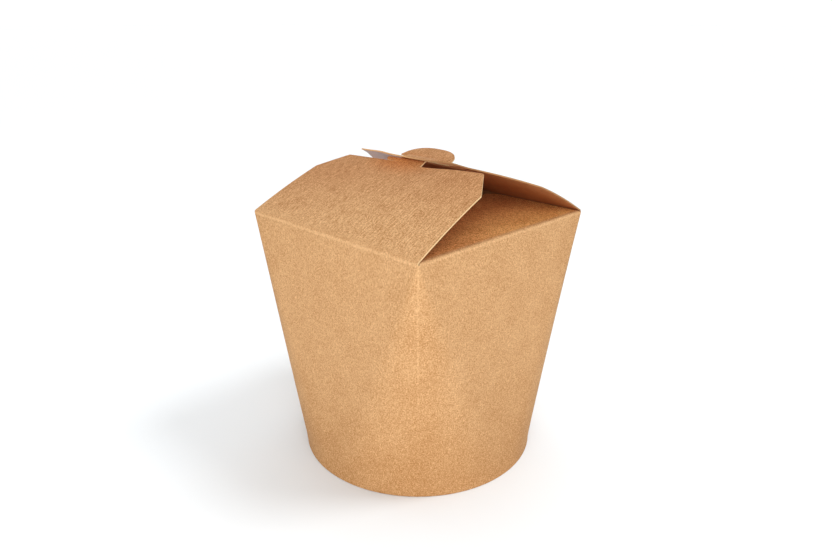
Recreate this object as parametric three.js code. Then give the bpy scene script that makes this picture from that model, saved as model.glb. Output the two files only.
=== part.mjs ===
// Noodle takeaway box, shut: a paperboard pail with a round foot and a square rim,
// closed by four flaps hinged on the rim. Millimetres, +Z up, origin at the middle
// of the foot. The front of the box is -Y.
import * as THREE from 'three';
import { mergeVertices } from 'three/addons/utils/BufferGeometryUtils.js';

// --- Driving dimensions -----------------------------------------------------

const rimSide = 90;          // one side of the square rim, from fold to fold
const rimHeight = 98.5;      // height of the rim folds above the table
const footDiameter = 94.5;   // outside of the round foot
const board = 0.5;           // thickness of the coated paperboard
const clearance = 0.3;       // air left between neighbouring solids

const footHeight = 6;        // the base disc is set in this far above the table
const footWall = 1.6;        // wall curled in round the disc's flange: three layers of board

// Front roof flap: a wide panel that curls over as it rises to its tongue.
const frontFlap = {
  foldAngle: 28.4,           // slope at the middle of the rim fold, in degrees
  twist: 4.9,                // slope gained from the left end of the fold to the right
  curl: 9,                   // slope lost between the fold and the far edge
  halfWidth: 44.7,
  shoulder: 34,              // length of the straight side edges
  reach: 46.1,               // length from the fold to the far edge
  farHalfWidth: 36.4,
};

// Its tongue: a short neck and a rounded head whose wings hold it in the slot.
const tongue = {
  slope: 12.4,               // held down by the strip of the back flap
  bend: 2,                   // length of neck that takes up the change of slope
  neckLeft: 10.8,
  neckRight: 7,
  neckLength: 3.6,
  headHalfWidth: 14.6,
  headLength: 12.4,          // from the wings to the tip
};

// Back roof flap: a little longer, so that its slotted edge laps over the tongue's neck.
const backFlap = {
  foldAngle: 30.95,
  twist: 0,
  curl: 13.8,
  halfWidth: 44.7,
  shoulder: 30.2,
  reach: 50.4,
  farHalfWidth: 31,
};

// The slot leaves a narrow strip along the back flap's free edge. An entry cut frees
// one end of the strip, which lies down on the neck of the tongue.
const slot = {
  halfLength: 16.9,
  width: 2.2,
  stripWidth: 3.4,
  entryAt: 7.2,              // along the edge, seen from the back
  entryWidth: 0.4,
  droop: 0.5,                // the strip's free corner, below the flap's own surface
  lift: 2.1,                 // the strip's inner edge, raised by the tongue under it
  liftRun: 2,                // length of slot in which the raised edge comes down again
};

// Side flaps: plain panels folded level, one from each side, meeting in the middle.
const sideFlap = { halfWidth: 42.9, reach: 44, cornerRadius: 6 };

// Facets: how finely the round sections and the blanks are divided.
const quarterSteps = 12;     // in a quarter of the pail
const sideSteps = 4;         // from a roof flap's fold to its shoulders
const chamferSteps = 2;      // from the shoulders on
const sideColumns = 3;       // on each side of a roof flap's tongue or slot
const neckColumns = 3;       // across the neck of the tongue
const headLines = 6;         // along the tongue's head
const stripColumns = 5;      // along the strip's free length
const cornerLines = 4;       // round a side flap's corner

const weldDistance = 1e-4;   // points closer than this are one
const leastTurn = 1e-9;      // radians per millimetre, below which an arc is straight

const radians = THREE.MathUtils.degToRad;

// --- The pail: straight lines joining a round foot to a square rim ----------

// Outline at one height: quarter arcs whose centres spread towards the rim corners
// while their radius shrinks, so every line from foot to rim is straight.
function pailSection(z, inset = 0) {
  const rise = z / rimHeight;
  const centre = rise * rimSide / 2;
  const radius = (1 - rise) * footDiameter / 2 - inset;
  const points = [];
  for (let quarter = 0; quarter < 4; quarter++) {
    const middle = (quarter + 0.5) * Math.PI / 2;
    const centreX = centre * Math.sign(Math.cos(middle));
    const centreY = centre * Math.sign(Math.sin(middle));
    for (let step = 0; step <= quarterSteps; step++) {
      const angle = (quarter + step / quarterSteps) * Math.PI / 2;
      points.push([centreX + radius * Math.cos(angle), centreY + radius * Math.sin(angle), z]);
    }
  }
  return points;
}

// Closed solid through rings of equal point count. A solid one has a flat cap at each
// end, and a hollow one runs from its last ring back to its first.
function solidFromRings(rings, hollow) {
  const count = rings[0].length;
  const index = [];
  const bands = hollow ? rings.length : rings.length - 1;
  for (let band = 0; band < bands; band++) {
    const low = band * count;
    const high = ((band + 1) % rings.length) * count;
    for (let i = 0; i < count; i++) {
      const next = (i + 1) % count;
      index.push(low + i, low + next, high + next, low + i, high + next, high + i);
    }
  }
  if (!hollow) {
    const top = (rings.length - 1) * count;
    for (let i = 1; i < count - 1; i++) {
      index.push(0, i + 1, i, top, top + i, top + i + 1);
    }
  }
  return closedGeometry(rings.flat(2), index);
}

// Points that meet are made one, and the slivers this leaves are dropped.
function closedGeometry(positions, index) {
  let geometry = new THREE.BufferGeometry();
  geometry.setAttribute('position', new THREE.Float32BufferAttribute(positions, 3));
  geometry.setIndex(index);
  geometry = mergeVertices(geometry, weldDistance);
  const merged = geometry.getIndex().array;
  const kept = [];
  for (let i = 0; i < merged.length; i += 3) {
    const [a, b, c] = merged.slice(i, i + 3);
    if (a !== b && b !== c && c !== a) kept.push(a, b, c);
  }
  geometry.setIndex(kept);
  return geometry;
}

function pailBody() {
  const top = rimHeight - board - clearance;
  return solidFromRings([pailSection(footHeight), pailSection(top)], false);
}

function footRing() {
  const top = footHeight - clearance;
  return solidFromRings([
    pailSection(0),
    pailSection(top),
    pailSection(top, footWall),
    pailSection(0, footWall),
  ], true);
}

// --- Flaps: cut flat from board, then bent up from the rim fold -------------

// Every flap is made as the front one and then turned to its own side of the rim.
// Its blank is ruled into cells by lines across it, each { v, columns }: v is the
// distance from the fold, and the columns are the places u along the line. 'isCut'
// says which cells, by line and column, are not board. 'place' bends the blank, from
// (u, v, n) to (x, y, z), where n is the height above the board's middle layer.
function foldedPanel(lines, isCut, place) {
  const positions = [];
  const index = [];
  const rows = lines.length;
  const columns = lines[0].columns.length;
  for (const { v, columns: places } of lines) {
    for (const u of places) {
      positions.push(...place(u, v, -board / 2), ...place(u, v, board / 2));
    }
  }
  const under = (row, column) => 2 * (row * columns + column);
  const quad = (a, b, c, d) => index.push(a, b, c, a, c, d);
  const isBoard = (row, column) => row >= 0 && row < rows - 1
    && column >= 0 && column < columns - 1 && !isCut(row, column);
  for (let row = 0; row < rows - 1; row++) {
    for (let column = 0; column < columns - 1; column++) {
      if (!isBoard(row, column)) continue;
      const nearLeft = under(row, column);
      const nearRight = under(row, column + 1);
      const farRight = under(row + 1, column + 1);
      const farLeft = under(row + 1, column);
      const wall = (from, to) => quad(from, to, to + 1, from + 1);
      quad(nearLeft + 1, nearRight + 1, farRight + 1, farLeft + 1);
      quad(farLeft, farRight, nearRight, nearLeft);
      if (!isBoard(row - 1, column)) wall(nearLeft, nearRight);
      if (!isBoard(row, column + 1)) wall(nearRight, farRight);
      if (!isBoard(row + 1, column)) wall(farRight, farLeft);
      if (!isBoard(row, column - 1)) wall(farLeft, nearLeft);
    }
  }
  return closedGeometry(positions, index);
}

// Where a walk of length v ends on a chain of arcs, each { length, from, to } with its
// slopes in radians: how far out from the fold, how far up, and the slope there.
function walkArcs(arcs, v) {
  let out = 0;
  let up = 0;
  let slope = arcs[0].from;
  let left = v;
  for (const arc of arcs) {
    const run = Math.min(left, arc.length);
    const turn = (arc.to - arc.from) / arc.length;
    slope = arc.from + turn * run;
    const chord = Math.abs(turn) < leastTurn ? run : 2 * Math.sin(turn * run / 2) / turn;
    const chordSlope = (arc.from + slope) / 2;
    out += chord * Math.cos(chordSlope);
    up += chord * Math.sin(chordSlope);
    left -= run;
    if (left <= 0) break;
  }
  return { out, up, slope };
}

// A point of the board n above its middle layer, at the end of a walk from the fold.
function fromFold(u, walk, n) {
  const y = -rimSide / 2 + board / 2 + walk.out - n * Math.sin(walk.slope);
  const z = rimHeight - board / 2 + walk.up + n * Math.cos(walk.slope);
  return [u, y, z];
}

// Evenly spaced numbers, both ends included.
function spaced(from, to, steps) {
  return Array.from({ length: steps + 1 }, (_, i) => from + (to - from) * i / steps);
}

// Columns kept in the middle, and others spread out from them to both edges.
function columnsAround(middle, halfWidth) {
  const first = middle[0];
  const last = middle[middle.length - 1];
  return [
    ...spaced(-halfWidth, first, sideColumns).slice(0, -1),
    ...middle,
    ...spaced(last, halfWidth, sideColumns).slice(1),
  ];
}

// The wide panel of a roof flap, with straight sides to the shoulders and chamfers
// from there to the far edge. 'stops' are further distances that need a line.
function roofLines(flap, middle, stops = []) {
  const { shoulder, reach, halfWidth, farHalfWidth } = flap;
  const distances = [
    ...spaced(0, shoulder, sideSteps),
    ...spaced(shoulder, stops[0] ?? reach, chamferSteps).slice(1),
    ...stops.slice(1),
  ];
  return distances.map((v) => {
    const chamfer = Math.max(0, (v - shoulder) / (reach - shoulder));
    return { v, columns: columnsAround(middle, halfWidth + chamfer * (farHalfWidth - halfWidth)) };
  });
}

function roofArc(flap, u) {
  const from = radians(flap.foldAngle + flap.twist * u / rimSide);
  return { length: flap.reach, from, to: from - radians(flap.curl) };
}

function flapWithTongue() {
  const { neckLeft, neckRight, neckLength, headHalfWidth, headLength } = tongue;
  const wings = frontFlap.reach + neckLength;
  const neck = spaced(-neckLeft, neckRight, neckColumns);
  const panel = roofLines(frontFlap, neck);
  const bend = { v: frontFlap.reach + tongue.bend, columns: columnsAround(neck, headHalfWidth) };
  const head = spaced(0, Math.PI / 2, headLines).map((angle) => ({
    v: wings + headLength * Math.sin(angle),
    columns: columnsAround(neck, headHalfWidth).map((u) => u * Math.cos(angle)),
  }));
  const isBesideNeck = (row, column) => row >= panel.length - 1 && row <= panel.length
    && (column < sideColumns || column >= sideColumns + neckColumns);
  return foldedPanel([...panel, bend, ...head], isBesideNeck, (u, v, n) => {
    const roof = roofArc(frontFlap, u);
    const slope = radians(tongue.slope);
    const give = { length: tongue.bend, from: roof.to, to: slope };
    const straight = { length: Infinity, from: slope, to: slope };
    return fromFold(u, walkArcs([roof, give, straight], v), n);
  });
}

function flapWithSlot() {
  const { halfLength, entryAt, entryWidth, liftRun, stripWidth } = slot;
  const outer = backFlap.reach;
  const inner = outer - stripWidth;
  const lip = inner - slot.width;
  const raised = halfLength - liftRun;
  const cut = [entryAt - entryWidth / 2, entryAt + entryWidth / 2];
  const strip = [-halfLength, ...spaced(-raised, cut[0], stripColumns), cut[1], raised, halfLength];
  const lines = roofLines(backFlap, strip, [lip, inner, outer]);
  const slotRow = lines.length - 3;
  const isSlot = (row, column) => {
    const overStrip = column >= sideColumns && column < sideColumns + strip.length - 1;
    const atEntry = lines[row].columns[column] === cut[0];
    return (row === slotRow && overStrip) || (row === slotRow + 1 && atEntry);
  };
  return foldedPanel(lines, isSlot, (u, v, n) => {
    const point = fromFold(u, walkArcs([roofArc(backFlap, u)], v), n);
    if (v >= inner && Math.abs(u) < halfLength) {
      const inward = (outer - v) / stripWidth;
      const raise = Math.min(1, (halfLength - Math.abs(u)) / liftRun);
      const free = u < entryAt ? (u + halfLength) / (entryAt + halfLength) : 0;
      point[2] += slot.lift * raise * inward - slot.droop * free * (1 - inward);
    }
    return point;
  });
}

// A level panel with rounded far corners.
function levelSideFlap() {
  const { halfWidth, reach, cornerRadius } = sideFlap;
  const corner = spaced(0, Math.PI / 2, cornerLines).map((angle) => ({
    v: reach - cornerRadius * (1 - Math.sin(angle)),
    halfWidth: halfWidth - cornerRadius * (1 - Math.cos(angle)),
  }));
  const lines = [{ v: 0, halfWidth }, ...corner].map((line) => ({
    v: line.v,
    columns: [-line.halfWidth, line.halfWidth],
  }));
  const level = { length: Infinity, from: 0, to: 0 };
  return foldedPanel(lines, () => false, (u, v, n) => fromFold(u, walkArcs([level], v), n));
}

// --- The box ----------------------------------------------------------------

const kraft = { color: 0xc79762, roughness: 0.85, metalness: 0 };
const shadedKraft = { color: 0xb98a58, roughness: 0.85, metalness: 0 };

const box = new THREE.Group();

function addPiece(name, geometry, finish, quarterTurns = 0) {
  const mesh = new THREE.Mesh(geometry, new THREE.MeshStandardMaterial(finish));
  mesh.name = name;
  mesh.rotation.z = quarterTurns * Math.PI / 2;
  box.add(mesh);
}

addPiece('pail_body', pailBody(), kraft);
addPiece('foot_ring', footRing(), kraft);
addPiece('flap_with_tongue', flapWithTongue(), kraft);
addPiece('side_flap_right', levelSideFlap(), shadedKraft, 1);
addPiece('flap_with_slot', flapWithSlot(), kraft, 2);
addPiece('side_flap_left', levelSideFlap(), shadedKraft, 3);

export default box;
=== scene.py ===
import bpy
import numpy as np
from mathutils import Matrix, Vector


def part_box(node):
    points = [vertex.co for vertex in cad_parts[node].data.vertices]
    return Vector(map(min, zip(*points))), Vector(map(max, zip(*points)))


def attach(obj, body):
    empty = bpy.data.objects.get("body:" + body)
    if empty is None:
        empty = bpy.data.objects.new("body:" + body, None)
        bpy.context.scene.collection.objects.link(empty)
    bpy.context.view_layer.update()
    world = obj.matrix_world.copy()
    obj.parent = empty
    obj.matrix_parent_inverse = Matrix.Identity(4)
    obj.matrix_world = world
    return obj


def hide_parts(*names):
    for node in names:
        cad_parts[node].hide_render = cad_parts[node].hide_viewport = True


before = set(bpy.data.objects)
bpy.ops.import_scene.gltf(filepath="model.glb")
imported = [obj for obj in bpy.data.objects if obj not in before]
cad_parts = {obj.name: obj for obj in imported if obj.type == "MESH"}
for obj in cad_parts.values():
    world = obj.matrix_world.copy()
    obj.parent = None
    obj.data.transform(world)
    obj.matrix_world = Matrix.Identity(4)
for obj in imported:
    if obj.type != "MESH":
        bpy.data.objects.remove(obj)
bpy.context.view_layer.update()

mm = 0.001
scene = bpy.context.scene

# --- Camera -----------------------------------------------------------------------
# It looks down onto the front right corner of the box from two box heights away.

camera_place = (0.18686, -0.18844, 0.16869)
camera_turn = 44.865          # degrees from +Y towards -X
camera_tilt = 20.336          # degrees below level
sensor_width = 36.0           # millimetres, as a lens is quoted
lens_length = 30.288

camera = bpy.data.objects.new("camera", bpy.data.cameras.new("camera"))
camera.location = camera_place
camera.rotation_euler = np.radians((90 - camera_tilt, 0, camera_turn))
camera.data.sensor_width = sensor_width
camera.data.lens = lens_length
camera.data.clip_start = 0.01
scene.collection.objects.link(camera)
scene.camera = camera

# --- Table and light --------------------------------------------------------------
# A white table runs back to a bright backdrop. A wide soft light comes from the camera's
# side, with a round lamp near the box to go with it. Two more lights fall only on the
# table: they keep it white and lay the box's pale shadow on it, mostly to the left.

table_reach = 20.0
table_white = (0.785, 0.815, 0.835, 1)
table_roughness, table_gloss = 0.9, 0.1
backdrop_from = (-0.7055, 0.7087, 0)
backdrop_brightness = 1.24    # straight from there, falling off with the cosine
overhead_from = (0, 0, 1)
overhead_brightness = 0.73
seen_brightness = 1.2         # the least that the camera sees beyond the table
wide_light_from = (0.65, -0.65, 0.35)
wide_light_spread = 60        # degrees
wide_light_power = 1.18
front_lamp_place = (0.3845, -0.3845, 0.3136)
front_lamp_aim = (0, 0, 0.06)
front_lamp_width = 0.35
front_lamp_power = 1.07
table_light_from = (0.43, 0.385, 0.815)
table_light_spread = 20
table_light_power = 1.21
table_fill_from = (0, -0.1, 1)
table_fill_spread = 70
table_fill_power = 0.22


def new_material(name):
    material = bpy.data.materials.new(name)
    material.use_nodes = True
    tree = material.node_tree
    return material, tree, tree.nodes["Principled BSDF"]


def add_node(tree, kind, settings=None, inputs=None):
    """A new node with its settings, and each input set to a number or linked to a socket."""
    node = tree.nodes.new(kind)
    for key, value in (settings or {}).items():
        setattr(node, key, value)
    for key, value in (inputs or {}).items():
        if isinstance(value, bpy.types.NodeSocket):
            tree.links.new(value, node.inputs[key])
        else:
            node.inputs[key].default_value = value
    return node


def math(tree, operation, *values):
    settings = {"operation": operation}
    return add_node(tree, "ShaderNodeMath", settings, dict(enumerate(values))).outputs[0]


table = bpy.data.objects.new("table", bpy.data.meshes.new("table"))
table_corners = [(x, y, 0) for x, y in ((-1, -1), (1, -1), (1, 1), (-1, 1))]
table.data.from_pydata(np.multiply(table_corners, table_reach), [], [(0, 1, 2, 3)])
table_paint, _, table_shader = new_material("table_paint")
table_shader.inputs["Base Color"].default_value = table_white
table_shader.inputs["Roughness"].default_value = table_roughness
table_shader.inputs["Specular IOR Level"].default_value = table_gloss
table.data.materials.append(table_paint)
scene.collection.objects.link(table)

scene.world = bpy.data.worlds.new("surround")
scene.world.use_nodes = True
surround = scene.world.node_tree
direction = add_node(surround, "ShaderNodeTexCoord").outputs["Generated"]


def glow_from(source, brightness):
    """Light from one direction, which falls off with the cosine of the angle to it."""
    settings = {"operation": "DOT_PRODUCT"}
    facing = add_node(surround, "ShaderNodeVectorMath", settings, {0: direction, 1: source})
    scaled = math(surround, "MULTIPLY", facing.outputs["Value"], brightness)
    return math(surround, "MAXIMUM", scaled, 0)


glow = math(
    surround, "ADD",
    glow_from(backdrop_from, backdrop_brightness),
    glow_from(overhead_from, overhead_brightness))
seen = add_node(surround, "ShaderNodeLightPath").outputs["Is Camera Ray"]
seen = math(surround, "MULTIPLY", seen, seen_brightness)
background = surround.nodes["Background"]
background.inputs["Color"].default_value = (1, 1, 1, 1)
surround.links.new(math(surround, "MAXIMUM", glow, seen), background.inputs["Strength"])

front_lamp = bpy.data.objects.new("front_lamp", bpy.data.lights.new("front_lamp", "AREA"))
front_lamp.data.shape = "DISK"
front_lamp.data.size = front_lamp_width
front_lamp.data.energy = front_lamp_power
front_lamp.location = front_lamp_place
towards_lamp = Vector(front_lamp_place) - Vector(front_lamp_aim)
front_lamp.rotation_euler = towards_lamp.to_track_quat("Z", "Y").to_euler()
scene.collection.objects.link(front_lamp)


def soft_sun(name, source, spread, power):
    """Even light from one direction, spread over that many degrees."""
    lamp = bpy.data.objects.new(name, bpy.data.lights.new(name, "SUN"))
    lamp.data.angle = np.radians(spread)
    lamp.data.energy = power
    lamp.rotation_euler = Vector(source).to_track_quat("Z", "Y").to_euler()
    lamp.location = Vector(source).normalized()
    scene.collection.objects.link(lamp)
    return lamp


soft_sun("wide_light", wide_light_from, wide_light_spread, wide_light_power)
table_light = soft_sun("table_light", table_light_from, table_light_spread, table_light_power)
table_fill = soft_sun("table_fill", table_fill_from, table_fill_spread, table_fill_power)
table_only = bpy.data.collections.new("table_only")
table_only.objects.link(table)
for lamp in (table_light, table_fill):
    lamp.light_linking.receiver_collection = table_only

scene.view_settings.view_transform = "Standard"

# --- Board ------------------------------------------------------------------------
# The blank is cut from half-millimetre kraft board: matt and fibrous outside, coated
# and smoother inside, and paler along its cut edges. Its map gives every point a place
# on the flat blank, U round the rim and V up from the rim fold, in millimetres, so the
# fibres run on from the wall over the fold and into the flap.

blank_map = "blank"
wall_u = 90.0                 # of U to each wall, with the middle of the front at 0


def mixed(tree, share, first, second, blend="MIX", clamp=False):
    """The first colour, going over to the second as share goes from 0 to 1.

    With MULTIPLY it goes over to the two multiplied."""
    settings = {"data_type": "RGBA", "blend_type": blend, "clamp_result": clamp}
    inputs = {"Factor": share, "A": first, "B": second}
    return add_node(tree, "ShaderNodeMix", settings, inputs).outputs["Result"]


def shade(colour, part):
    """The colour at that part of its brightness."""
    return (*(part * c for c in colour[:3]), 1)


def product(tree, first, *others):
    for other in others:
        first = math(tree, "MULTIPLY", first, other)
    return first


def eased(tree, value, start, full):
    """0 short of start, 1 past full, and a smooth step between. start may be the larger."""
    settings = {"interpolation_type": "SMOOTHSTEP"}
    inputs = {"Value": value, "From Min": start, "From Max": full}
    return add_node(tree, "ShaderNodeMapRange", settings, inputs).outputs[0]


def distance(tree, value, middle):
    return math(tree, "ABSOLUTE", math(tree, "SUBTRACT", value, middle))


def past(tree, u, middle, period):
    """How far u is past the nearest of the places a period apart, one of which is middle."""
    shifted = math(tree, "SUBTRACT", u, middle)
    return math(tree, "WRAP", shifted, period / 2, -period / 2)


def blank_place(tree):
    """The place on the blank, and its U and V."""
    place = add_node(tree, "ShaderNodeUVMap", {"uv_map": blank_map}).outputs[0]
    u, v, _ = add_node(tree, "ShaderNodeSeparateXYZ", None, {"Vector": place}).outputs
    return place, u, v


def add_relief(tree, shader, height, strength, depth):
    """Bumps of that depth, in metres."""
    inputs = {"Strength": strength, "Distance": depth, "Height": height}
    bump = add_node(tree, "ShaderNodeBump", None, inputs)
    tree.links.new(bump.outputs[0], shader.inputs["Normal"])


def cloud(tree, where, scale, detail=2.0, roughness=0.5):
    """Plain noise with features about 1/scale across."""
    inputs = {"Vector": where, "Scale": scale, "Detail": detail, "Roughness": roughness}
    settings = {"noise_dimensions": "3D"}
    return add_node(tree, "ShaderNodeTexNoise", settings, inputs).outputs["Fac"]


def fibres(tree, where, turn, length, width):
    """Noise drawn out into streaks of that length and width, turned by that many degrees."""
    turned = add_node(tree, "ShaderNodeMapping", {"vector_type": "POINT"}, {
        "Vector": where,
        "Rotation": (0, 0, np.radians(turn)),
    }).outputs[0]
    drawn = add_node(tree, "ShaderNodeMapping", {"vector_type": "POINT"}, {
        "Vector": turned,
        "Location": (turn, 0, 0),
        "Scale": (1 / length, 1 / width, 1),
    }).outputs[0]
    return cloud(tree, drawn, 1.0, detail=1.0)


# The light and dark of the sheet: long fibres, fine pulp and slow clouding.
kraft_dark = (0.41, 0.18, 0.050, 1)
kraft_light = (0.90, 0.56, 0.285, 1)
fibre_turns = (20, 62, 84, 107, 140)
fibre_length, fibre_width = 2.0, 0.35
pulp_scale, clouding_scale = 1.85, 0.09
fibre_weight, pulp_weight, clouding_weight = 1.9, 1.25, 0.3
tone_level = -1.51

kraft, tree, shader = new_material("kraft_outer")
place, u, v = blank_place(tree)
streaks = fibres(tree, place, fibre_turns[0], fibre_length, fibre_width)
for turn in fibre_turns[1:]:
    more_streaks = fibres(tree, place, turn, fibre_length, fibre_width)
    streaks = math(tree, "MAXIMUM", streaks, more_streaks)
pulp = cloud(tree, place, pulp_scale, detail=2.0, roughness=0.6)
clouding = cloud(tree, place, clouding_scale, detail=3.0, roughness=0.6)
tone = math(tree, "MULTIPLY_ADD", streaks, fibre_weight, tone_level)
tone = math(tree, "MULTIPLY_ADD", pulp, pulp_weight, tone)
tone = math(tree, "MULTIPLY_ADD", clouding, clouding_weight, tone)

# The fold round the rim and the scored corners below it are paler: worn a little, and
# given a painted highlight where the bent board catches the light. Each span, here and
# below, is where an effect starts and where it is full on the blank.
fold_crest, fold_span = -0.8, (1.0, 0.3)
below_fold_span = (0.4, -0.4)
score_span, score_depth = (0.5, 0.1), (-85.0, -20.0)
fold_share, score_share, worn_highlight_weight = 0.5, 0.4, 0.35

fold_line = eased(tree, distance(tree, v, fold_crest), *fold_span)
below_fold = eased(tree, v, *below_fold_span)
corner_gap = math(tree, "ABSOLUTE", past(tree, u, wall_u / 2, wall_u))
score_line = product(
    tree, eased(tree, corner_gap, *score_span), eased(tree, v, *score_depth), below_fold)
# Worn paler, and a painted highlight along the fold and the corner scores.
worn_and_highlight = math(
    tree, "MAXIMUM",
    math(tree, "MULTIPLY", fold_line, fold_share),
    math(tree, "MULTIPLY", score_line, score_share))
tone = math(tree, "MULTIPLY_ADD", worn_and_highlight, worn_highlight_weight, tone)

# Painted shade makes it a little darker towards the foot, down the front left and back
# right corners, and round all four corners from just below the rim.
foot_shade_span, foot_shade_weight = (-45.0, -100.0), -0.16
shaded_span, shaded_weight = (16.0, 2.0), -0.06
corner_shade_span, corner_shade_depth, corner_shade_weight = (16.0, 1.0), (-6.0, -30.0), -0.06

# Painted shade towards the foot and down the front left and back right corners.
tone = math(tree, "MULTIPLY_ADD", eased(tree, v, *foot_shade_span), foot_shade_weight, tone)
shaded_gap = math(tree, "ABSOLUTE", past(tree, u, 1.5 * wall_u, 2 * wall_u))
shaded_corner = product(tree, eased(tree, shaded_gap, *shaded_span), below_fold)
tone = math(tree, "MULTIPLY_ADD", shaded_corner, shaded_weight, tone)
# Painted shade round every corner, from just below the rim.
corner_shade = product(
    tree, eased(tree, corner_gap, *corner_shade_span), eased(tree, v, *corner_shade_depth))
tone = math(tree, "MULTIPLY_ADD", corner_shade, corner_shade_weight, tone)

# The flaps are more mottled, the side ones most, and longer streaks run along them. The
# middles of the side flaps are one wall and three walls round from the front's.
side_edge, side_rise = (45.1, 44.9), (0.0, 2.5)
flap_rise = (0.0, 4.0)
roof_mottle, mottle_level, mottle_weight = 0.3, 0.42, 1.1
lay_turn, lay_length, lay_width = 88, 5.0, 0.6
lay_level, lay_weight = 0.5, 0.9

side_u = past(tree, u, wall_u, 2 * wall_u)
side_flap = product(
    tree, eased(tree, math(tree, "ABSOLUTE", side_u), *side_edge), eased(tree, v, *side_rise))
on_flap = eased(tree, v, *flap_rise)
mottled = math(tree, "MULTIPLY_ADD", on_flap, roof_mottle, side_flap)
mottle = product(tree, math(tree, "SUBTRACT", tone, mottle_level), mottled)
tone = math(tree, "MULTIPLY_ADD", mottle, mottle_weight, tone)
lay = fibres(tree, place, lay_turn, lay_length, lay_width)
lay = product(tree, math(tree, "SUBTRACT", lay, lay_level), on_flap)
tone = math(tree, "MULTIPLY_ADD", lay, lay_weight, tone)
colour = mixed(tree, tone, kraft_dark, kraft_light)

# Painted shade: the side flaps lie in shade under the roof, so they are a deeper, redder
# colour, deepest where their U starts, and a painted shadow darkens them away from the fold.
side_shade_start = (1.00, 0.755, 0.52, 1)
side_shade_end = (1.36, 1.22, 0.86, 1)
side_shadow_colour = (0.90, 0.74, 0.76, 1)
side_shade_span, side_shadow_span = (-40.0, 40.0), (6.0, 32.0)

# Painted shade on the side flaps.
side_shade_tint = mixed(
    tree, eased(tree, side_u, *side_shade_span), side_shade_start, side_shade_end)
colour = mixed(tree, side_flap, colour, side_shade_tint, "MULTIPLY", clamp=True)
side_shadow_far = product(tree, side_flap, eased(tree, v, *side_shadow_span))
colour = mixed(tree, side_shadow_far, colour, side_shadow_colour, "MULTIPLY")

# Painted shade: the roof flaps are a deeper brown towards their far edges and the front
# one's left side, and most of all beside the neck, in the shadow of the back flap's strip.
roof_shade_tint = (0.82, 0.70, 0.61, 1)
neck_shade_tint = (0.93, 0.69, 0.46, 1)
roof_shade_far_span = (4.0, 48.0)
left_rise, left_span, left_shade_weight = (0.0, 8.0), (4.0, -40.0), 0.35
neck_shade_squeeze = (0.5, 1.0, 0.0)    # the painted shade is twice as long in U as in V
neck_shade_middle, neck_shade_span = (-3.0, 46.0, 0.0), (11.0, 0.0)    # in squeezed places

left_side = product(tree, eased(tree, v, *left_rise), eased(tree, u, *left_span))
roof_shade = math(tree, "MULTIPLY_ADD", left_side, left_shade_weight, eased(tree, v, *roof_shade_far_span))
roof_shade = product(tree, math(tree, "SUBTRACT", 1.0, side_flap), roof_shade)
colour = mixed(tree, roof_shade, colour, roof_shade_tint, "MULTIPLY")
# Painted shade beside the neck, under the back flap's strip.
squeezed = add_node(
    tree, "ShaderNodeVectorMath", {"operation": "MULTIPLY"}, {0: place, 1: neck_shade_squeeze})
neck_shade_gap = add_node(
    tree, "ShaderNodeVectorMath", {"operation": "DISTANCE"},
    {0: squeezed.outputs[0], 1: neck_shade_middle}).outputs["Value"]
neck_shade = product(tree, eased(tree, neck_shade_gap, *neck_shade_span), roof_shade)
colour = mixed(tree, neck_shade, colour, neck_shade_tint, "MULTIPLY")
tree.links.new(colour, shader.inputs["Base Color"])

# The fibres and the pulp stand up a little from the sheet, and it is duller over pulp.
kraft_relief, kraft_depth, pulp_relief = 0.25, 0.05 * mm, 0.5
kraft_rough_pulp, kraft_roughness, kraft_gloss = 0.12, 0.76, 0.3

relief = math(tree, "MULTIPLY_ADD", pulp, pulp_relief, streaks)
add_relief(tree, shader, relief, kraft_relief, kraft_depth)
rough = math(tree, "MULTIPLY_ADD", pulp, kraft_rough_pulp, kraft_roughness)
tree.links.new(rough, shader.inputs["Roughness"])
shader.inputs["Specular IOR Level"].default_value = kraft_gloss

# The inner face has a thin coating. It is a little uneven. Painted light makes it paler
# under the back flap's slotted edge, where light reaches in under the flap.
coated_brown = (0.48, 0.185, 0.070, 1)
painted_light_brown = (0.95, 0.52, 0.25, 1)
coating_scale, coating_shades = 0.5, (0.85, 1.15)
painted_light_span, painted_light_rise = (26.0, 16.0), (36.0, 44.0)
coating_rough_clouds, coating_roughness = 0.2, 0.3
peel_scale, peel_relief, peel_depth = 1.6, 0.1, 0.03 * mm

coated, tree, shader = new_material("coated_inner")
place, u, v = blank_place(tree)
clouding = cloud(tree, place, coating_scale, detail=4.0, roughness=0.6)
colour = mixed(tree, clouding, *(shade(coated_brown, part) for part in coating_shades))
# Painted light under the back flap's slotted edge.
from_slot = distance(tree, u, 2 * wall_u)
painted_light = product(tree, eased(tree, from_slot, *painted_light_span), eased(tree, v, *painted_light_rise))
colour = mixed(tree, painted_light, colour, painted_light_brown)
tree.links.new(colour, shader.inputs["Base Color"])
rough = math(tree, "MULTIPLY_ADD", clouding, coating_rough_clouds, coating_roughness)
tree.links.new(rough, shader.inputs["Roughness"])
orange_peel = cloud(tree, place, peel_scale, detail=2.0)
add_relief(tree, shader, orange_peel, peel_relief, peel_depth)

# The cut edges show the pale plies. The back flap's are a deeper orange, and darker
# towards the box's right side.
cut_pale = (0.97, 0.66, 0.34, 1)
cut_orange = (0.70, 0.39, 0.17, 1)
cut_brown = (0.38, 0.18, 0.07, 1)
ply_scale, ply_shade = 900.0, 0.7      # per metre, as the plies are placed on the piece
back_edge, deep_edge_span, deep_edge_share = (45.1, 44.9), (192.0, 168.0), 0.9
cut_roughness, cut_gloss = 0.9, 0.2

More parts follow.
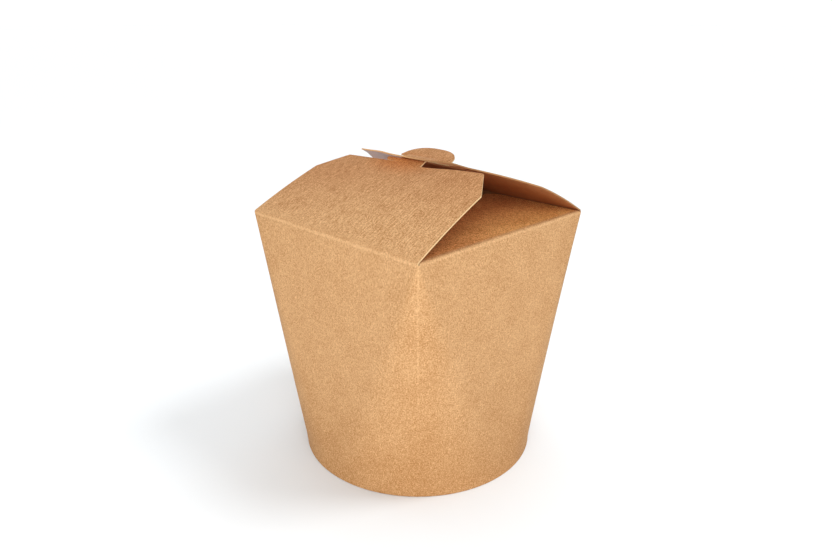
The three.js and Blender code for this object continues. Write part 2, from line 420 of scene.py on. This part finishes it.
cut_edge, tree, shader = new_material("cut_edge")
spot = add_node(tree, "ShaderNodeTexCoord").outputs["Object"]
plies = cloud(tree, spot, ply_scale, detail=3.0, roughness=0.7)
colour = mixed(tree, plies, shade(cut_pale, ply_shade), cut_pale)
u = blank_place(tree)[1]
on_back = eased(tree, distance(tree, u, 2 * wall_u), *back_edge)
deep_edge = mixed(tree, eased(tree, u, *deep_edge_span), cut_orange, cut_brown)
colour = mixed(tree, math(tree, "MULTIPLY", on_back, deep_edge_share), colour, deep_edge)
tree.links.new(colour, shader.inputs["Base Color"])
shader.inputs["Roughness"].default_value = cut_roughness
shader.inputs["Specular IOR Level"].default_value = cut_gloss

outside, inside, cut = 0, 1, 2      # the places of kraft, coated and cut_edge on a piece
crease_angle = 38             # degrees. Sharper edges than this are shaded as creases


def mesh_piece(name, points, faces, finish, places, replaced):
    """A closed piece of board from its vertices and its four-cornered or three-cornered faces.

    finish holds each face's place in the three board materials, and places holds the
    spot on the blank, in millimetres, of every corner of every face in turn."""
    mesh = bpy.data.meshes.new(name)
    mesh.from_pydata(out_of_square(points), [], faces)
    for material in (kraft, coated, cut_edge):
        mesh.materials.append(material)
    mesh.polygons.foreach_set("material_index", np.asarray(finish, np.int32))
    mesh.uv_layers.new(name=blank_map)
    mesh.uv_layers[blank_map].uv.foreach_set("vector", np.asarray(places, np.float32).ravel())
    mesh.shade_smooth()
    mesh.set_sharp_from_angle(angle=np.radians(crease_angle))
    piece = bpy.data.objects.new(name, mesh)
    scene.collection.objects.link(piece)
    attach(piece, "root")
    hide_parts(*replaced)
    return piece


# --- Pail wall --------------------------------------------------------------------
# The four walls are one sheet, wrapped round and lapped at the back left corner. It
# goes from a round foot to a square rim in straight lines. The foot is curled in and
# up round the base disc's flange, and the rim ends where the flaps' folds begin.

foot_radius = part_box("foot_ring")[1].x
rim_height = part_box("side_flap_right")[1].z
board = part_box("side_flap_right")[1].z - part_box("side_flap_right")[0].z
rim_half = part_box("side_flap_right")[1].x + board / 2
wall_top = rim_height - 0.9 * mm    # where the wall ends and the flaps' folds begin
mouth_depth = 3 * mm          # of the solid's hidden closing face, below the wall's top
foot_wall = 1.6 * mm          # wall, disc flange and curled lip together
lip_height = 5.2 * mm
disc_height = 6.0 * mm
cap_rise = 0.3 * mm           # of the lip's hidden closing face, into the disc's board
lap_width = 12 * mm
lap_ease = 10 * mm

foot_bead = 0.4 * mm          # how far the crimp spreads the foot
bead_height = 6 * mm
foot_shift = 0.3 * mm         # of the foot, along the diagonal to the back right corner
corner_push = 0.55 * mm       # of that corner's rim, the same way

wall_turns = np.radians((180, 270, 0, 90))     # left, front, right, back wall
wall_starts = wall_u * np.array((-1.5, -0.5, 0.5, 1.5))
lap_end = 2.5 * wall_u        # the sheet ends at the back left corner
base_v = 300.0                # the middle of the base on the map, clear of the blank
arc_steps, flat_steps = 20, 28
curl_steps, wall_steps = 14, 39


def out_of_square(points):
    """The points of the true box, moved to where they are in this one.

    The corner's push goes with the height to the power 2.5 and with the third power
    of the share (x + y) / (2 rim_half). The foot's shift fades with the sixth power
    of the depth below the rim. Both go along the diagonal."""
    x, y, z = points.T
    share = np.clip(z / rim_height, 0, None)
    push = corner_push * share ** 2.5 * np.clip((x + y) / (2 * rim_half), 0, None) ** 3
    push = push + foot_shift * np.clip(1 - share, 0, 1) ** 6
    return points + np.outer(push / np.sqrt(2), (1, 1, 0))


def smooth_step(share):
    """0 up to a share of 0, 1 from a share of 1, and 3 share^2 - 2 share^3 between."""
    share = np.clip(share, 0, 1)
    return share * share * (3 - 2 * share)


def pail_ring(height, inset=0.0, lap=1.0):
    """One level ring of the pail, and the place of each of its points round the blank.

    At a share t of the rim height, the ring is a square whose corners are quarter
    arcs: their centres lie t times half the rim side out, their radius is (1 - t)
    times the foot's, and straight runs join them. Each wall goes from corner middle
    to corner middle. The crimp adds foot_bead at the foot, which fades with the square
    of the height up to bead_height. The last stretch of the sheet rises by a board's
    thickness over the lap."""
    t = height / rim_height
    centre = t * rim_half
    spread = np.clip(1 - height / bead_height, 0, 1) ** 2
    radius = (1 - t) * foot_radius + spread * foot_bead - inset
    swing = np.linspace(0, np.pi / 4, arc_steps + 1)
    run = np.linspace(-centre, centre, flat_steps + 1)[1:-1]
    across = np.concatenate((
        -centre - radius * np.sin(swing[::-1]), run, centre + radius * np.sin(swing)))
    out = np.concatenate((
        centre + radius * np.cos(swing[::-1]),
        np.full(run.size, centre + radius),
        centre + radius * np.cos(swing)))
    walk = np.concatenate((-centre - radius * swing[::-1], run, centre + radius * swing))
    share = walk / (centre + radius * np.pi / 4)
    xs, ys, us = [], [], []
    for turn, start in zip(wall_turns, wall_starts):
        xs.append(out * np.cos(turn) - across * np.sin(turn))
        ys.append(out * np.sin(turn) + across * np.cos(turn))
        us.append(start + wall_u / 2 * (1 + share))
    x, y, u = (np.concatenate(part) for part in (xs, ys, us))
    start_lap = lap_end - (lap_width + lap_ease) / mm
    rise = smooth_step((u - start_lap) / (lap_ease / mm))
    proud = 1 + lap * board * rise / np.hypot(x, y)
    keep = np.ones(u.size, bool)
    keep[np.arange(1, 4) * out.size] = False     # corner middles that two walls share
    points = np.column_stack((x * proud, y * proud, np.full(u.size, height)))
    return points[keep], u[keep]


def ringed_solid(name, levels, finish_of_band, replaced, map_v):
    """A closed solid through level rings, from a middle point over each end to the other.

    levels is a list of (height, inset, lap). The faces between two levels take the
    finish of that band, and the narrow step of the lap takes the cut edge's."""
    rings, us = zip(*(pail_ring(*level) for level in levels))
    count = us[0].size
    first, last = [0, 0, levels[0][0]], [0, 0, levels[-1][0]]
    points = np.concatenate((*rings, [first, last]))
    corner = np.arange(len(levels) * count).reshape(len(levels), count)
    after = np.roll(corner, -1, axis=1)
    quads = np.stack((corner[:-1], corner[1:], after[1:], after[:-1]), axis=-1)
    finish = np.repeat(np.array(finish_of_band)[:, None], count, axis=1)
    finish[:, -1] = cut
    fan_first = np.stack((np.full(count, len(points) - 2), corner[0], after[0]), axis=-1)
    fan_last = np.stack((np.full(count, len(points) - 1), after[-1], corner[-1]), axis=-1)
    faces = [*quads.reshape(-1, 4).tolist(), *fan_first.tolist(), *fan_last.tolist()]
    finish = np.concatenate((finish.ravel(), np.full(2 * count, finish_of_band[-1])))

    u = np.array(us)
    u_after = np.roll(u, -1, axis=1)
    u_after[:, -1] = u[:, -1]
    v = np.broadcast_to(np.array(map_v)[:, None], u.shape)
    quad_places = np.stack((
        np.stack((u[:-1], u[1:], u_after[1:], u_after[:-1]), axis=-1),
        np.stack((v[:-1], v[1:], v[1:], v[:-1]), axis=-1)), axis=-1)
    flat = points[:, :2] / mm + (0, base_v)
    fan_places = flat[np.concatenate((fan_first, fan_last)).ravel()]
    places = np.concatenate((quad_places.reshape(-1, 2), fan_places))
    mesh_piece(name, points, faces, finish, places, replaced)


curl_radius = foot_wall / 2
curl = np.linspace(0, np.pi, curl_steps + 1)
curl_flat = 0.6               # 1 is a round curl, 0 a square one
curl_in = np.sign(np.cos(curl)) * np.abs(np.cos(curl)) ** curl_flat
curl_down = np.sin(curl) ** curl_flat
wall_rise = np.linspace(wall_top, curl_radius, wall_steps + 1)
wall_levels = (
    [(wall_top - mouth_depth, board, 0), (wall_top, board, 0)]
    + [(z, 0, 1) for z in wall_rise]
    + [(curl_radius * (1 - down), curl_radius * (1 - inward), 1 - c / np.pi)
       for c, down, inward in zip(curl[1:], curl_down[1:], curl_in[1:])]
    + [(lip_height, foot_wall, 0), (lip_height, foot_wall - board, 0),
       (disc_height + cap_rise, foot_wall - board, 0)]
)
wall_finish = [inside, cut] + [outside] * (wall_steps + curl_steps + 1) + [cut, inside]

# V is the height down to the wall's top edge. From there it follows the walk down the
# outside, round the curl and up the lip.
wall_v = [(z - rim_height) / mm for z, _, _ in wall_levels]
walk = np.cumsum([np.hypot(b[0] - a[0], b[1] - a[1])
                  for a, b in zip(wall_levels, wall_levels[1:])])
wall_v[3:] = wall_v[2] - (walk[2:] - walk[1]) / mm
ringed_solid(
    "pail_wall", wall_levels, wall_finish, ("pail_body", "foot_ring"), wall_v)

# --- Base disc --------------------------------------------------------------------
# A round of the same board closes the pail above the foot. Its rim is drawn down into
# a flange, which the foot's lip grips.

disc_bend = 0.8 * mm
bend_steps = 6
bend = np.linspace(0, np.pi / 2, bend_steps + 1)
disc_inset = foot_wall - board
disc_levels = (
    [(disc_height + board, disc_inset, 0)]
    + [(disc_height - disc_bend * (1 - np.sin(b)), disc_inset + disc_bend * (1 - np.cos(b)), 0)
       for b in bend]
)
disc_finish = [cut] + [outside] * bend_steps
disc_v = [base_v] * len(disc_levels)
ringed_solid("base_disc", disc_levels, disc_finish, ("foot_ring",), disc_v)

# --- Flaps: how a panel leaves the rim ---------------------------------------------
# Each flap is part of a wall, scored along the rim and bent over it. It keeps its own
# curl, and its outline and slots are cut square through the board.

fold_radius = 0.5 * mm        # of the board's middle layer
wall_lean = np.pi / 2 - np.arctan((foot_radius - rim_half) / rim_height)
seam_drop = (rim_height - wall_top) / np.sin(wall_lean)
fold_end, after_fold = 0.8 * mm, (1.4 * mm, 2 * mm)    # rows past the rim
fold_steps = 13
panel_start = 3 * mm          # the evenly spaced rows run from here
corner_room = 1 * mm          # to this far short of the shoulder
cut_softness = 0.07 * mm      # of the board's cut edges
cut_angle = 50                # degrees. Sharper edges than this are softened
arc_points = 9                # on each rounded corner
side_steps = 10               # of columns on either side of a flap's tongue or slot


def walk_from_fold(u, v, flap):
    """How far out and up a walk of length v over the rim ends, and the slope there.

    The walk climbs the wall, turns over the rim on an arc of fold_radius, and goes on
    along a panel whose slope falls evenly with length. A tongue's neck then bends to
    its own slope over a short run and stays at it."""
    start = np.radians(flap["slope"] + flap.get("twist", 0) * u / (2 * rim_half))
    turn = np.radians(flap["curl"]) / flap["reach"]

    def along(length):
        run = np.minimum(length, flap["reach"])
        slope = start - turn * run
        out = run * np.cos((start + slope) / 2) * np.sinc(turn * run / 2 / np.pi)
        up = run * np.sin((start + slope) / 2) * np.sinc(turn * run / 2 / np.pi)
        if "tongue_slope" in flap:
            end = np.radians(flap["tongue_slope"])
            bend = np.clip((length - flap["reach"]) / flap["tongue_bend"], 0, 1)
            beyond = np.maximum(length - flap["reach"] - flap["tongue_bend"], 0)
            mean = slope + (end - slope) * bend / 2
            slope = slope + (end - slope) * bend
            out = out + bend * flap["tongue_bend"] * np.cos(mean) + beyond * np.cos(end)
            up = up + bend * flap["tongue_bend"] * np.sin(mean) + beyond * np.sin(end)
        return out, up, slope

    lead = fold_radius * np.tan((wall_lean - start) / 2)
    out, up, slope = along(np.maximum(v, lead))
    lead_out, lead_up, lead_slope = along(lead)
    share = np.clip((v + lead) / (2 * lead), 0, 1)
    turned = wall_lean + (lead_slope - wall_lean) * share
    arc_out = lead_out + fold_radius * (np.sin(lead_slope) - np.sin(turned))
    arc_up = lead_up - fold_radius * (np.cos(lead_slope) - np.cos(turned))
    down = np.maximum(-lead - v, 0)
    arc_out = arc_out - down * np.cos(wall_lean)
    arc_up = arc_up - down * np.sin(wall_lean)
    on_panel = v >= lead
    return (np.where(on_panel, out, arc_out), np.where(on_panel, up, arc_up),
            np.where(on_panel, slope, turned))


def flap_piece(name, rows, keep, flap, quarter_turns, replaced, settle=None):
    """A flap from its ruled blank: rows of (v, places u along that row), and the cells kept.

    Each blank point goes to the end of its walk from the fold, half a board out along
    the panel's normal for the outer face and half a board in for the inner one. A
    sheared flap also leans sideways by a share of v. settle gives the height by which
    each point has bent away from the plain curl."""
    v = np.array([row[0] for row in rows])[:, None]
    u = np.array([row[1] for row in rows])
    v = np.broadcast_to(v, u.shape)
    out, up, slope = walk_from_fold(u, v, flap)
    up = up - flap.get("drop", 0)
    if settle is not None:
        up = up + settle(u, v)
    faces_out = []
    for n in (board / 2, -board / 2):
        x = u + flap.get("shear", 0) * v
        y = board / 2 - rim_half + out - n * np.sin(slope)
        z = rim_height - board / 2 + up + n * np.cos(slope)
        faces_out.append(np.stack((x, y, z), axis=-1).reshape(-1, 3))
    points = np.concatenate(faces_out)
    angle = quarter_turns * np.pi / 2
    cos, sin = np.cos(angle), np.sin(angle)
    points = points @ np.array(((cos, sin, 0), (-sin, cos, 0), (0, 0, 1)))

    under = u.size
    index = np.arange(under).reshape(u.shape)
    a, b, c, d = index[:-1, :-1], index[:-1, 1:], index[1:, 1:], index[1:, :-1]
    outer = np.stack((a, b, c, d), axis=-1)[keep]
    inner = np.stack((d, c, b, a), axis=-1)[keep] + under
    around = np.pad(keep, 1)
    walls = []
    for start, end, beside in (
            (a, b, around[:-2, 1:-1]), (b, c, around[1:-1, 2:]),
            (c, d, around[2:, 1:-1]), (d, a, around[1:-1, :-2])):
        rim = keep & ~beside
        walls.append(np.stack((end, start, start + under, end + under), axis=-1)[rim])
    walls = np.concatenate(walls)
    faces = np.concatenate((outer, inner, walls))
    finish = np.repeat((outside, inside, cut), (len(outer), len(inner), len(walls)))
    used, faces = np.unique(faces, return_inverse=True)
    faces = faces.reshape(-1, 4)
    blank = np.column_stack((u.ravel() / mm + wall_u * quarter_turns, v.ravel() / mm))
    places = np.concatenate((blank, blank))[used][faces.ravel()]
    piece = mesh_piece(name, points[used], faces.tolist(), finish, places, replaced)
    bevel = piece.modifiers.new("soft_cut", "BEVEL")
    bevel.width = cut_softness
    bevel.segments = 2
    bevel.limit_method = "ANGLE"
    bevel.angle_limit = np.radians(cut_angle)


def rounded_side(corners):
    """Half the width of a blank at each distance from the fold, from a few corners.

    corners is a list of (half width, distance, radius). Each corner with a radius is
    replaced by the arc that touches both of its sides. Returns distances and widths."""
    widths, lengths = [corners[0][0]], [corners[0][1]]
    for (u0, v0, _), (u1, v1, radius), (u2, v2, _) in zip(corners, corners[1:], corners[2:]):
        before = np.arctan2(v1 - v0, u1 - u0)
        after = np.arctan2(v2 - v1, u2 - u1)
        reach = radius * np.tan((after - before) / 2)
        swing = np.linspace(before, after, arc_points)
        start_u, start_v = u1 - reach * np.cos(before), v1 - reach * np.sin(before)
        widths += list(start_u + radius * (np.sin(swing) - np.sin(before)))
        lengths += list(start_v - radius * (np.cos(swing) - np.cos(before)))
    return np.array(lengths), np.array(widths)


def columns_round(middle, left_edge, right_edge, steps):
    """Places along a row: the middle ones as given, with others spread out to both edges."""
    left = np.linspace(left_edge, middle[0], steps + 1)[:-1]
    right = np.linspace(middle[-1], right_edge, steps + 1)[1:]
    return np.concatenate((left, middle, right))


def bell(gap, width):
    """1 at no gap, falling off smoothly over the width."""
    return np.exp(-(gap / width) ** 2)


def fold_rows(drop=0.0):
    """Distances from the seam on the wall to just past the fold's arc."""
    over_fold = np.linspace(drop - seam_drop, fold_end, fold_steps + 1)
    return np.concatenate((over_fold, after_fold))


def merged(distances, digits=8):
    """The distances in order, those that agree to that many decimals of a metre once."""
    return np.unique(np.round(distances, digits))


# --- Front flap with its tongue -----------------------------------------------------
# The front flap slopes up and back from the rim. A short neck on its far edge carries
# a rounded head, which comes up through the back flap's slot and locks the box. An ear
# on the head's left side still catches under the back flap.

front = {"slope": 28.35, "twist": 4.9, "curl": 9, "reach": 46.1 * mm, "shear": -0.02,
         "tongue_slope": 15.6, "tongue_bend": 2 * mm}
front_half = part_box("flap_with_tongue")[1].x
front_shoulder = 34.0 * mm
front_far_half = 36.4 * mm
front_radii = (1.5 * mm, 1.2 * mm)    # of the shoulder and the far corner
neck_left, neck_right = 7.2 * mm, 4.8 * mm
left_wing_start = 51.2 * mm   # from the fold to the left wing's lower edge
wings_start = 50.4 * mm       # and to the right wing's
head_base, head_length = 49.3 * mm, 11.1 * mm
head_middle, head_half = 2.7 * mm, 13.1 * mm
head_roundness = 2.5
head_arc, head_rows = (12, 84), 24    # degrees round the head, from its widest to its top

# The ear's outline: distances from the fold, and from the middle to its left side.
ear = np.array(((46.1, 12.4), (46.6, 13.6), (47.1, 14.2), (47.6, 14.3), (47.9, 13.9),
                (48.15, 12.4), (48.45, 7.6), (48.6, 7.2))) * mm

press_down, press_roll = 0.05 * mm, 0.05      # of the head, under the strip
sag_depth, sag_middle = 0.95 * mm, 6.0 * mm   # of the far edge, beside the neck
sag_left, sag_right = 9 * mm, 13 * mm
sag_start, sag_end = 22 * mm, 50 * mm
jump = 0.01 * mm              # between two rows where the outline steps in or out
head_clear = 0.2 * mm         # from the wings' lower edge to the head's next row
front_low_rows, front_high_rows = 18, 8       # below its shoulders, and from there on
ear_rows, wing_rows = 11, 5   # beside the ear, and from there to the right wing


def front_settle(u, v):
    """How far the front flap stands off its plain curl.

    The slot levels the tongue: beyond the neck's bend it lies a little lower, and its
    right side lower still. The panel's far edge sags beside the neck, in a bell along
    the edge that builds up from sag_start and is gone by sag_end."""
    beyond = np.clip((v - front["reach"]) / front["tongue_bend"], 0, 1)
    level = -beyond * (press_down + press_roll * u)
    along = bell(u - sag_middle, np.where(u > sag_middle, sag_right, sag_left))
    builds = smooth_step((v - sag_start) / (front["reach"] - sag_start))
    fades = smooth_step((sag_end - v) / (sag_end - front["reach"]))
    return level - sag_depth * along * builds * fades


def tongue_row(v):
    """The places along a row of the tongue. Its left side follows the ear and the neck.

    Beyond the wings' lower edges both sides follow a superellipse. With n the head's
    roundness, |(u - middle) / half width|^n + ((v - base) / length)^n is 1 along it.
    Columns past the outline are spare, and are cut away afterwards."""
    rise = np.clip((v - head_base) / head_length, 0, 1) ** head_roundness
    half = head_half * (1 - rise) ** (1 / head_roundness)
    left = half - head_middle if v > left_wing_start else np.interp(v, ear[:, 0], ear[:, 1])
    right = head_middle + half
    widest = head_middle + head_half
    inner = head_middle + (neck_right - head_middle) * (right - head_middle) / head_half
    middle = np.linspace(-left, inner if v > wings_start else neck_right, neck.size)
    return columns_round(middle, -left - widest, right if v > wings_start else widest, side_steps)


neck_steps = 18
neck = np.linspace(-neck_left, neck_right, neck_steps + 1)
side_v, side_half = rounded_side([
    (front_half, 0, 0),
    (front_half, front_shoulder, front_radii[0]),
    (front_far_half, front["reach"], front_radii[1]),
    (0, front["reach"], 0),
])
panel_v = np.concatenate((
    fold_rows(), np.linspace(panel_start, side_v[1] - corner_room, front_low_rows),
    side_v[1:arc_points + 1],
    np.linspace(side_v[arc_points], side_v[arc_points + 1], front_high_rows)[1:-1],
    side_v[arc_points + 1:]))
panel_v = merged(panel_v)
rows = [(v, columns_round(neck, -half, half, side_steps))
        for v, half in zip(panel_v, np.interp(panel_v, side_v, side_half))]
panel_rows = len(rows)
neck_v = np.concatenate((
    np.linspace(front["reach"], ear[-1, 0], ear_rows)[1:],
    np.linspace(ear[-1, 0], wings_start, wing_rows)[1:]))
head_swing = np.radians(np.linspace(*head_arc, head_rows))
head_v = head_base + head_length * np.sin(head_swing) ** (2 / head_roundness)
head_v = head_v[head_v > wings_start + head_clear]
head_v = np.sort(np.append(head_v, (left_wing_start, left_wing_start + jump)))
rows += [(v, tongue_row(v)) for v in (*neck_v, wings_start + jump, *head_v)]
keep = np.ones((len(rows) - 1, neck.size + 2 * side_steps - 1), bool)
keep[panel_rows - 1:, :side_steps] = False
keep[panel_rows - 1:panel_rows + len(neck_v), -side_steps:] = False
flap_piece("front_flap", rows, keep, front, 0, ("flap_with_tongue",), front_settle)

# --- Back flap with its slot --------------------------------------------------------
# The back flap is a little longer, so that the strip beyond its slot laps over the
# neck. An entry cut frees one end of the strip. The tongue lifts the strip's inner
# edge, and the flap's free edge beside both ends of the slot.

back = {"slope": 30.9, "curl": 13.8, "reach": 50.4 * mm}
back_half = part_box("flap_with_slot")[1].x
back_shoulders = ((30.2 * mm, 4.0 * mm), (30.2 * mm, 2.5 * mm))   # right, left, with radius
back_far_half, back_far_radius = 31.0 * mm, 1.0 * mm
slot_half = 16.9 * mm
slot_gap = 0.35 * mm
strip_width = 3.4 * mm
entry_at, entry_gap = 7.2 * mm, 0.2 * mm      # seen from the back
strip_lift = 1.28 * mm
lift_left, lift_left_run = 7.3 * mm, 0.6 * mm     # where the lift ends, left of the neck
lift_right, lift_right_run = 12.0 * mm, 5.0 * mm  # and right of it
edge_bells = (
    # middle, height and width either way of a rise in the free edge, seen from the back
    (19.5 * mm, 0.33 * mm, 4.5 * mm, 6.0 * mm),
    (-18.0 * mm, 0.75 * mm, 6.8 * mm, 9.5 * mm),
)
rise_start = 0.45             # as a share of the flap's length
flare_share, flare_width = 0.85, 3.75 * mm     # of the rise, close to the free edge
left_sag, left_sag_start = 1.45 * mm, 20 * mm     # of the left side edge, and from where
left_sag_middle, left_sag_width = 28 * mm, 13 * mm
slot_ease = 3.5 * mm
strip_points, end_points = 27, 10             # along the strip, either side of the entry
back_low_rows, back_high_rows = 16, 12        # below its shoulders, and on to the slot
strip_rows = 7                # across the strip
least_row = 0.02 * mm         # rows that lie closer are taken as one


def back_settle(u, v):
    """How far the back flap stands off its plain curl.

    Two bells along the free edge rise towards it from rise_start. Between the slot's
    ends the panel keeps down, and the strip has its front edge on the bells and its
    inner edge strip_lift high, in smooth steps from the slot's ends. The left side edge
    sags in a bell about left_sag_middle."""
    edge = sum(height * bell(u - middle, np.where(u < middle, below, above))
               for middle, height, below, above in edge_bells)
    share = smooth_step((v / back["reach"] - rise_start) / (1 - rise_start))
    flare = np.clip(1 - (back["reach"] - v) / flare_width, 0, 1)
    edge = edge * (flare_share * flare + (1 - flare_share) * share)
    from_end = slot_half - np.abs(u)
    inward = (back["reach"] - v) / strip_width
    lift = smooth_step((lift_left - u) / lift_left_run)
    lift = lift * smooth_step((u + lift_right) / lift_right_run)
    strip = edge + inward * lift * (strip_lift - edge)
    panel = edge * (1 - smooth_step(from_end / slot_ease))
    outward = smooth_step((u - left_sag_start) / (back_half - left_sag_start))
    panel = panel - left_sag * outward * bell(v - left_sag_middle, left_sag_width)
    on_strip = (back["reach"] - v < strip_width + slot_gap / 2) & (from_end > 0)
    return np.where(on_strip, strip, panel)


sides = [rounded_side([
    (back_half, 0, 0),
    (back_half, shoulder, radius),
    (back_far_half, back["reach"], back_far_radius),
    (0, back["reach"], 0),
]) for shoulder, radius in back_shoulders]
inner_v = back["reach"] - strip_width
lip_v = inner_v - slot_gap
strip = np.concatenate((
    np.linspace(-slot_half, entry_at - entry_gap / 2, strip_points),
    np.linspace(entry_at + entry_gap / 2, slot_half, end_points)))
slot_v = np.array((lip_v, inner_v))
strip_v = np.linspace(inner_v, back["reach"], strip_rows)
side_v = np.sort(np.concatenate([lengths[1:-1] for lengths, _ in sides]))
panel_v = np.concatenate((
    fold_rows(), np.linspace(panel_start, side_v[0] - corner_room, back_low_rows), side_v,
    np.linspace(side_v[arc_points], lip_v, back_high_rows), slot_v, strip_v))
panel_v = merged(panel_v, digits=7)
panel_v = panel_v[np.concatenate((np.diff(panel_v) > least_row, (True,)))]
right_half, left_half = (np.interp(panel_v, *side) for side in sides)
rows = [(v, columns_round(strip, -right, left, side_steps))
        for v, right, left in zip(panel_v, right_half, left_half)]
keep = np.ones((len(rows) - 1, strip.size + 2 * side_steps - 1), bool)
slot_row = int(np.argmin(np.abs(panel_v - lip_v)))
entry_column = side_steps + strip_points - 1
keep[slot_row, side_steps:-side_steps] = False
keep[slot_row + 1:, entry_column] = False
flap_piece("back_flap", rows, keep, back, 2, ("flap_with_slot",), back_settle)

# --- Side flaps -----------------------------------------------------------------------
# Plain panels folded in level under the roof, one from each side. They meet in the
# middle.

level = {"slope": 0, "curl": 0, "reach": 44 * mm, "drop": 0.25 * mm}
level_half = 43.9 * mm
level_corner = 6 * mm
level_rows, level_columns = 12, 25

side_v, side_half = rounded_side([
    (level_half, 0, 0),
    (level_half, level["reach"], level_corner),
    (0, level["reach"], 0),
])
panel_v = np.concatenate((
    fold_rows(level["drop"]), np.linspace(panel_start, side_v[1] - corner_room, level_rows),
    side_v[1:]))
panel_v = merged(panel_v)
across = np.linspace(-0.5, 0.5, level_columns)
rows = [(v, 2 * across * np.interp(v, side_v, side_half)) for v in panel_v]
keep = np.ones((len(rows) - 1, across.size - 1), bool)
for name, quarter_turns, node in (
        ("right_flap", 1, "side_flap_right"), ("left_flap", 3, "side_flap_left")):
    flap_piece(name, rows, keep, level, quarter_turns, (node,))
